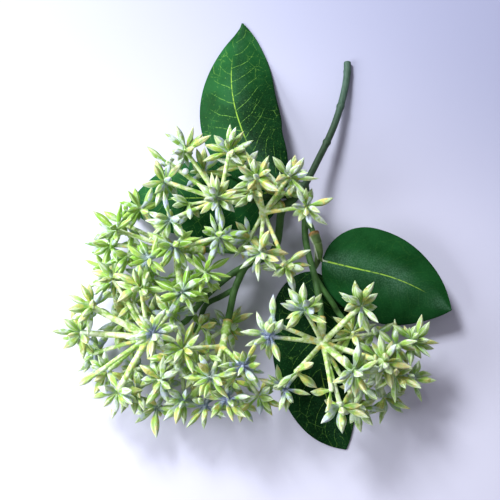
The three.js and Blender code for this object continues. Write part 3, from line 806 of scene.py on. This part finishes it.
def make_stem(material):
    """All branches in one moulding, with a peg for each head, and a neck and a peg for each leaf stalk."""
    parts = []
    for name, branch in BRANCHES.items():
        head = HEADS[name]
        parts.append(branch_tube(branch, head))
        parts.append(peg(spot(head, "seat"), head_direction(head)))
    for stalk in LEAF_STALKS.values():
        root, seat = spot(stalk, "root"), spot(stalk, "seat")
        parts.append(tube([root, seat], NECK_RADIUS, PEG_SIDES))
        parts.append(peg(seat, unit(seat - root)))
    points, faces = moulded(parts, STEM_VOXEL, STEM_SMOOTHINGS)
    points[:, 2] = np.maximum(points[:, 2] + ripple(points, *STEM_RIPPLE), 0)
    # Painted shade deepens from 15 to 50 mm along y, round the upper fork, and gives way from 60 to 120 mm
    # to the grey-green film towards the cut end.
    shade_and_film = 0.5 * smoothstep(points[:, 1], 15, 50) + 0.5 * smoothstep(points[:, 1], 60, 120)
    fit(make_object("stem_moulding", points, faces, {"shade_and_film": shade_and_film}), material, "stem")


# Leaf stalks

def edge_share(points, lines):
    """How near points are to the left and right edges, from above, of tubes given as (path, radii)."""
    path = np.vstack([line for line, _ in lines])
    side = np.vstack([np.cross(np.gradient(line, axis=0), [0, 0, 1.0]) for line, _ in lines])
    side /= lengths(side)[:, None]
    radius = np.concatenate([radii for _, radii in lines])
    nearest = np.linalg.norm(points[:, None] - path[None], axis=2).argmin(axis=1)
    return np.abs(((points - path[nearest]) * side[nearest]).sum(axis=1)) / radius[nearest]


def cup(seat, direction):
    """A flared cup with a blind socket for the peg."""
    profile = [
        (MOUTH_RADIUS - MOUTH_WALL, CLEARANCE), (MOUTH_RADIUS, CLEARANCE),
        ((MOUTH_RADIUS + CUP_RADIUS) / 2, CUP_LENGTH / 2), (CUP_RADIUS, CUP_LENGTH - 1),
        (0.7 * CUP_RADIUS, CUP_LENGTH), (0.01, CUP_LENGTH), (0.01, CUP_LENGTH - 2.5),
        (PEG_RADIUS + CLEARANCE, CUP_LENGTH - 3),
    ]
    return turned(profile, seat, direction, SLEEVE_SIDES)


def make_leaf_stalk(name, stalk, material):
    """A flared cup over a peg, forking to two leaves and running on under each leaf's midrib."""
    root, seat = spot(stalk, "root"), spot(stalk, "seat")
    direction = unit(seat - root)
    cup_end = seat + CUP_END * direction
    parts = [cup(seat, direction)]
    lines = [(np.linspace(seat, cup_end, 13), np.linspace(MOUTH_RADIUS, CUP_RADIUS, 13))]
    for leaf, fork in stalk["forks"].items():
        path = spline([cup_end, *fork], FORK_STEPS)
        radii = FORK_ROOT_RADIUS + (FORK_RADIUS - FORK_ROOT_RADIUS) * np.linspace(0, 1, len(path)) ** 2
        lines.append((path, radii))
        parts.append(tube(path, radii, PEG_SIDES))
        along = np.linspace(0, FORK_RUN, 10)
        under = leaf_points(LEAVES[leaf], along, np.zeros(10)) - [0, 0, FORK_RUN_DEPTH]
        narrowing = np.linspace(FORK_RADIUS, FORK_TIP_RADIUS, 11)
        parts.append(tube(np.vstack([path[-3:-2], under]), narrowing, PEDICEL_SIDES))
    points, faces = moulded(parts, LEAF_STALK_VOXEL, LEAF_STALK_SMOOTHINGS)
    distance = (points - seat) @ direction
    # Whitish along both side edges as seen from above, fading out from 14 to 24 mm past the seat.
    side_white = smoothstep(edge_share(points, lines), 0.8, 0.96) * smoothstep(distance, 24, 14)
    attributes = {"mouth": smoothstep(distance, 3.6, 1.2), "side_white": side_white}
    fit(make_object(name + "_moulding", points, faces, attributes), material, name)


# Leaves

def outline(along, widest, fullness, point):
    """Half width of a leaf as a share of its greatest, at each fraction along the midrib."""
    low = np.clip((widest - along) / widest, 0, 1)
    high = np.clip((along - widest) / (1 - widest), 0, 1)
    base = (1 - low ** BASE_FULLNESS) ** BASE_POINT
    return np.where(along < widest, base, (1 - high ** fullness) ** point)


def leaf_points(leaf, along, across):
    """The blade's middle surface at fractions along the midrib and across each half."""
    path = spline(leaf["midrib"], MIDRIB_STEPS)
    at = np.linspace(0, 1, len(path))
    padded = np.pad(path, ((TURN_SPAN, TURN_SPAN), (0, 0)), "edge")
    tangents = padded[2 * TURN_SPAN:] - padded[:-2 * TURN_SPAN]
    points = interpolated(along, at, path)
    side = np.cross(interpolated(along, at, tangents), [0, 0, 1.0])
    side /= lengths(side)[:, None]
    least = LEAF_BASE_HALF_WIDTH + (LEAF_TIP_HALF_WIDTH - LEAF_BASE_HALF_WIDTH) * along
    for key, chosen in (("left", across < 0), ("right", across >= 0)):
        width, drop, *form = leaf[key]
        share = outline(along, *form)
        offset = across * np.maximum(least, width * share)
        points += np.where(chosen, 1, 0)[:, None] * side * offset[:, None]
        points[:, 2] -= np.where(chosen, drop * share * across ** 2, 0)
    points[:, 2] = np.maximum(points[:, 2], LEAF_LOWEST)
    return points


def leaf_fields(leaf, number):
    """The flat blade's grid of points, and what its relief and its print are drawn from at each."""
    i, j = np.meshgrid(np.arange(BLADE_ROWS + 1), np.arange(BLADE_COLUMNS + 1), indexing="ij")
    along = (i / BLADE_ROWS).ravel()
    even = (2 * j / BLADE_COLUMNS - 1).ravel()
    across = np.sign(even) * np.abs(even) ** COLUMN_CROWDING
    points = leaf_points(leaf, along, across)
    centre_line = leaf_points(leaf, along, np.zeros(len(along)))
    offset = lengths(points - centre_line) * np.sign(even)
    length = lengths(np.diff(spline(leaf["midrib"], 100), axis=0)).sum()
    blade = np.stack([along * length, offset, np.full(len(along), PRINT_APART * number)], axis=1)
    rise = np.where(across < 0, leaf["rise"], 1.0)
    lean = rise * (VEIN_SLANT * np.abs(across) + VEIN_CURVE * across ** 2)
    rank = SIDE_VEINS * (along - lean) + VEIN_STAGGER * (across < 0)
    return points, {"along": along, "across": across, "offset": offset, "blade": blade, "rank": rank}


def waved(leaf, number, points, fields):
    """The flat blade's points with its waves, its quilting between side veins and its groove."""
    across, offset = fields["across"], fields["offset"]
    free = smoothstep(points[:, 2], LEAF_LOWEST, 3) * leaf["relief"]
    wave = ripple(fields["blade"][:, :2], WAVE_HEIGHT, WAVE_LENGTH, number) * np.abs(across) ** 2
    between = np.clip(np.abs(offset) / 6, 0, 1) * (1 - np.abs(across) ** 4)
    quilt = QUILT_HEIGHT * np.cos(2 * math.pi * fields["rank"]) * between
    groove = -GROOVE_DEPTH * np.exp(-(offset / GROOVE_WIDTH) ** 2) * (1 - 0.6 * fields["along"])
    height = np.maximum(points[:, 2] + free * (wave - quilt + groove), LEAF_LOWEST)
    return np.column_stack([points[:, :2], height])


def blade_faces(under):
    """The faces of a blade's top, of its underside, whose points start at under, and of its rim."""
    width = BLADE_COLUMNS + 1
    faces = []
    for r in range(BLADE_ROWS):
        for c in range(BLADE_COLUMNS):
            a = r * width + c
            quad = (a, a + 1, a + width + 1, a + width)
            faces.append(quad)
            faces.append(tuple(under + k for k in quad[::-1]))
    grid = np.arange((BLADE_ROWS + 1) * width).reshape(-1, width)
    rim = np.concatenate([grid[0, :-1], grid[:-1, -1], grid[-1, :0:-1], grid[:0:-1, 0]]).tolist()
    return faces + [(b, a, a + under, b + under) for a, b in zip(rim, rim[1:] + rim[:1])]


def make_leaf(name, leaf, material, number):
    """A thin closed blade, with a rib under its midrib where it is clear of the surface."""
    flat, fields = leaf_fields(leaf, number)
    middle = waved(leaf, number, flat, fields)
    along, offset = fields["along"], fields["offset"]
    rib = RIB_HEIGHT * np.exp(-(offset / RIB_WIDTH) ** 2) * (1 - along) * (middle[:, 2] > RIB_CLEAR)
    top = middle + [0, 0, BLADE_THICKNESS / 2]
    bottom = middle - np.outer(rib + BLADE_THICKNESS / 2, [0, 0, 1])
    count = len(middle)
    attributes = {key: np.concatenate([values, values]) for key, values in fields.items()}
    attributes["under"] = np.repeat([0.0, 1.0], count)
    # Painted shade: a lower tone on some leaves and halves. Painted light: a higher tone towards the tip
    # where tip is set.
    left, right = leaf["tone"]
    by_side = left + (right - left) * smoothstep(fields["across"], -0.05, 0.2)
    attributes["tone"] = np.tile(by_side + leaf["tip"] * smoothstep(along, 0.35, 0.85), 2)
    for key in ("print", "bare", "sheen"):
        attributes[key] = np.full(2 * count, leaf[key])
    obj = make_object(name + "_blade", np.vstack([top, bottom]), blade_faces(count), attributes)
    fit(obj, material, name)


# Heads

def cluster_centres(head):
    """The tips of a head's pedicels, with the lower ones last."""
    return np.array([*head["tips"], *head["lower"]], float)


def cluster_blues(head):
    """How far each of a head's clusters is painted blue."""
    return np.array([head["blue"].get(i, FAINT_BLUE) for i in range(len(cluster_centres(head)))])


def bud_axes(node):
    """The buds of a CAD head, as (root, tip) pairs in layout millimetres, found by their sharp tips."""
    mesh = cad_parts[node].data
    keys, index = np.unique(np.round(layout_points(mesh), 2), axis=0, return_inverse=True)
    index = index.ravel()
    angle = np.zeros(len(keys))
    around = [set() for _ in keys]
    for face in mesh.polygons:
        corners = [index[v] for v in face.vertices]
        for k, corner in enumerate(corners):
            a, b = corners[k - 1], corners[(k + 1) % len(corners)]
            if corner in (a, b):
                continue
            one, two = unit(keys[a] - keys[corner]), unit(keys[b] - keys[corner])
            angle[corner] += math.degrees(math.acos(np.clip(one @ two, -1, 1)))
            around[corner].update((a, b))
    buds = []
    for corner in np.nonzero(angle < SHARP_TIP_DEGREES)[0]:
        belly = keys[list(around[corner])].mean(axis=0)
        root = keys[corner] + (belly - keys[corner]) / BELLY_FROM_TIP
        if SHORTEST_BUD < np.linalg.norm(keys[corner] - root) < LONGEST_BUD:
            buds.append((root, keys[corner]))
    return buds


def leaf_cloud():
    """Points all over the leaves, for keeping buds off them."""
    along, across = (grid.ravel() for grid in np.meshgrid(np.linspace(0, 1, 50), np.linspace(-1, 1, 21)))
    return np.vstack([leaf_points(leaf, along, across) for leaf in LEAVES.values()])


def extra_buds(buds, head, others, leaves, random):
    """More buds in the gaps of the fuller clusters, clear of every other bud and of the leaves."""
    added = []
    bodies = [root + (tip - root) * share for root, tip in others for share in (0.45, 0.65, 0.9)]
    for i, centre in enumerate(cluster_centres(head)):
        inward = unit(bow(spot(head, "hub"), centre, PEDICEL_STEPS)[-2] - centre)
        own = [unit(tip - root) for root, tip in buds if np.linalg.norm(root - centre) < CLUSTER_REACH]
        if len(own) < EXTRA_BUDS_FROM and i < len(head["tips"]):
            continue
        middles = [centre + direction * OWN_BUD_MIDDLE for direction in own]
        apart = [
            body for body in bodies if NEIGHBOUR_FROM < np.linalg.norm(body - centre) < NEIGHBOUR_REACH
            and all(np.linalg.norm(body - middle) > OWN_BUD_ROOM for middle in middles)
        ]
        apart = np.vstack([*apart, leaves[lengths(leaves - centre) < LEAF_REACH]])
        most = len(own) + EXTRA_BUD_LIMIT
        for _ in range(EXTRA_BUD_TRIES):
            direction = unit(random.normal(size=3))
            length = BUD_LENGTH * random.uniform(0.65, 1.0)
            tip = centre + direction * length
            body = np.array([centre + direction * length * share for share in (0.45, 0.7, 1.0)])
            room = np.linalg.norm(body[:, None] - apart[None], axis=2).min(initial=math.inf)
            closest = max([direction @ d for d in own], default=-1)
            if (len(own) == most or direction @ inward > 0.5 or tip[2] < EXTRA_BUD_LOWEST
                    or room < EXTRA_BUD_ROOM or closest > math.cos(EXTRA_BUD_ANGLE)):
                continue
            own.append(direction)
            added.append((centre, tip))
            bodies += list(body)
    return added


def bud_faces():
    """The faces of one bud: round its rings, at its tip, whose point is the last, and at its root."""
    top = (len(BUD_SHARES) - 1) * BUD_SIDES
    tip = [(top + j, top + (j + 1) % BUD_SIDES, top + BUD_SIDES) for j in range(BUD_SIDES)]
    return [*ring_faces(len(BUD_SHARES), BUD_SIDES), *tip, tuple(range(BUD_SIDES))[::-1]]


def bud_points(root, tip, girth, ridges, random):
    """One bud's points, a little bent and flattened, and where they are in its own axes, for its paint."""
    axis = unit(unit(tip - root) + BUD_SWAY * random.normal(size=3))
    x = unit(np.cross(axis, random.normal(size=3)))
    y = np.cross(axis, x)
    length = np.linalg.norm(tip - root) * random.uniform(0.98, 1.12)
    girth = girth * random.uniform(0.88, 1.12)
    squash = random.uniform(0.7, 0.95)
    bend = random.uniform(0.1, 1.1)
    square = 1 + BUD_RIDGE * ridges
    line = root + np.outer(BUD_SHARES * length, axis) + np.outer(bend * np.sin(math.pi * BUD_SHARES), x)
    flat = np.outer(np.cos(BUD_TURN) * square, x) + np.outer(np.sin(BUD_TURN) * square * squash, y)
    rings = line[:, None] + (BUD_RADII * girth)[:, None, None] * flat[None]
    points = np.vstack([rings.reshape(-1, 3), root + length * axis])
    points[:, 2] = np.maximum(points[:, 2], 0)
    return points, (points - root) @ np.stack([x, y, axis], axis=1) + random.uniform(0, 400, 3)


def bud_mesh(buds, head, random):
    """Spindle-shaped buds on thin necks, each a little bent, with attributes for their paint."""
    ridges = np.cos(BUD_RIDGES * BUD_TURN)
    count = len(BUD_SHARES) * BUD_SIDES + 1
    centres, blue = cluster_centres(head), cluster_blues(head)
    faces = bud_faces()
    parts, places, paints = [], [], []
    for root, tip in buds:
        points, local = bud_points(root, tip, head["girth"], ridges, random)
        parts.append((points, faces))
        places.append(local)
        paints.append((random.uniform(0, 1), random.uniform(0, 1), blue[lengths(centres - root).argmin()]))
    tone, hue, cluster = np.repeat(paints, count, axis=0).T
    return *together(parts), {
        "local": np.vstack(places), "tone": tone, "hue": hue, "cluster": cluster,
        "along": np.tile(np.append(np.repeat(BUD_SHARES, BUD_SIDES), 1.0), len(buds)),
        "ridge": np.tile(np.append(np.tile(ridges, len(BUD_SHARES)), 0.0), len(buds)),
        "wash": np.tile(head["wash"], (count * len(buds), 1)),
    }


def sleeve(seat, direction):
    """The thin-walled end that is pushed over the stem's peg, with a rounded lip."""
    wall = SLEEVE_WALL
    profile = [
        (SLEEVE_MOUTH_RADIUS - wall, CLEARANCE + 0.35), (SLEEVE_MOUTH_RADIUS - 0.5 * wall, CLEARANCE),
        (SLEEVE_MOUTH_RADIUS, CLEARANCE + 0.3), (SLEEVE_MOUTH_RADIUS, 1.6), (SLEEVE_MOUTH_RADIUS - 0.2, 2.2),
        (SLEEVE_RADIUS, SLEEVE_LENGTH - 1), (SLEEVE_RADIUS - 0.15, SLEEVE_LENGTH),
        (PEDUNCLE_RADIUS, SLEEVE_LENGTH + 1.2), (1.0, SLEEVE_LENGTH + 1.2), (1.0, 4.5),
        (SLEEVE_MOUTH_RADIUS - wall - 0.1, 3.5),
    ]
    return turned(profile, seat, direction, SLEEVE_SIDES)


def head_tubes(head):
    """A head's stalk, hub, pedicels, cluster cores and bead, as closed parts that overlap."""
    hub = spot(head, "hub")
    start = spot(head, "seat") + SLEEVE_LENGTH * head_direction(head)
    parts = [tube([start, hub], PEDUNCLE_RADIUS, STEM_SIDES), ball(hub, HUB_RADIUS)]
    for i, tip in enumerate(cluster_centres(head)):
        path = bow(hub, tip, PEDICEL_STEPS)
        t = np.linspace(0, 1, len(path))
        thin = LOWER_PEDICEL_RADIUS if i >= len(head["tips"]) else PEDICEL_RADIUS
        radius = PEDICEL_SWELL * head.get("thick", {}).get(i, thin)
        radii = radius * (0.97 + 0.25 * np.exp(-(t / 0.14) ** 2) + 0.22 * np.exp(-((1 - t) / 0.1) ** 2))
        parts.append(tube(path, radii, PEDICEL_SIDES))
        parts.append(ball(tip, CORE_RADIUS))
    if "bead" in head:
        parts.append(ball(head["bead"], BEAD_RADIUS, 12, 18))
    return parts


def make_head_stalks(name, head, material):
    """A head's stalks in one skin and its sleeve, with attributes for their paint."""
    seat, direction = spot(head, "seat"), head_direction(head)
    skin, skin_faces = moulded(head_tubes(head), STALK_VOXEL, STALK_SMOOTHINGS)
    skin += ripple(skin, *STALK_RIPPLE)[:, None] * unit(np.array([0.3, 0.4, 0.86]))
    points, faces = together([(skin, skin_faces), sleeve(seat, direction)])
    on_skin = np.arange(len(points)) < len(skin)
    distance = np.linalg.norm(points[:, None] - cluster_centres(head)[None], axis=2)
    near = smoothstep(distance.min(axis=1), 9.0, 3.5) * cluster_blues(head)[distance.argmin(axis=1)]
    bead = np.zeros(len(points))
    if "bead" in head:
        bead = smoothstep(lengths(points - head["bead"]), BEAD_RADIUS + 0.7, BEAD_RADIUS + 0.1)
    attributes = {
        "near": on_skin * near, "bead": on_skin * bead,
        "hub": on_skin * smoothstep(lengths(points - head["hub"]), 12, 3),
        "mouth": ~on_skin * smoothstep((points - seat) @ direction, 2.4, 1.2),
    }
    fit(make_object(name + "_stalks", points, faces, attributes), material, name)


def make_heads(stalk_look, bud_look):
    random = np.random.default_rng(BUD_SEED)
    leaves = leaf_cloud()
    buds = {name: bud_axes(name) for name in HEADS}
    for name, head in HEADS.items():
        make_head_stalks(name, head, stalk_look)
        everything = [bud for group in buds.values() for bud in group]
        buds[name] = buds[name] + extra_buds(buds[name], head, everything, leaves, random)
        fit(make_object(name + "_buds", *bud_mesh(buds[name], head, random)), bud_look, name)


# Stage

def area_light(name, place, aim, power):
    data = bpy.data.lights.new(name, "AREA")
    data.size = LAMP_SIZE
    data.energy = power
    data.color = LAMP_COLOUR
    lamp = linked(bpy.data.objects.new(name, data))
    lamp.location = place
    lamp.rotation_euler = (Vector(aim) - Vector(place)).to_track_quat("-Z", "Y").to_euler()


def make_camera():
    target = Vector((CAMERA_TARGET - PLAN_CENTRE) * MM)
    tilt = math.radians(CAMERA_ELEVATION)
    camera = linked(bpy.data.objects.new("camera", bpy.data.cameras.new("camera")))
    camera.data.lens = CAMERA_LENS
    camera.data.sensor_width = CAMERA_SENSOR
    camera.data.clip_start = 0.01
    back = Vector((0, -math.cos(tilt), math.sin(tilt)))
    camera.location = target + back * CAMERA_DISTANCE * MM
    camera.rotation_euler = (-back).to_track_quat("-Z", "Y").to_euler()
    bpy.context.scene.camera = camera


def make_floor():
    corners = [(x * FLOOR_REACH, y * FLOOR_REACH, 0) for x, y in ((-1, -1), (1, -1), (1, 1), (-1, 1))]
    mesh = bpy.data.meshes.new("floor")
    mesh.from_pydata(corners, [], [(0, 1, 2, 3)])
    floor = linked(bpy.data.objects.new("floor", mesh))
    floor.location.z = -FLOOR_DROP
    floor.data.materials.append(floor_material())


def make_light():
    for name, lamp in LAMPS.items():
        area_light(name, *lamp)
    world = bpy.data.worlds.new("studio")
    world.use_nodes = True
    background = world.node_tree.nodes["Background"]
    background.inputs["Color"].default_value = SURROUND_COLOUR
    background.inputs["Strength"].default_value = SURROUND_STRENGTH
    bpy.context.scene.world = world
    bpy.context.scene.view_settings.view_transform = "Standard"


make_camera()
make_floor()
make_light()
make_stem(stem_material())
leaf_stalk_look = leaf_stalk_material()
for stalk_name, stalk_row in LEAF_STALKS.items():
    make_leaf_stalk(stalk_name, stalk_row, leaf_stalk_look)
leaf_look = leaf_material()
for number, (leaf_name, leaf_row) in enumerate(LEAVES.items()):
    make_leaf(leaf_name, leaf_row, leaf_look, number + 1)
make_heads(stalk_material(), bud_material())
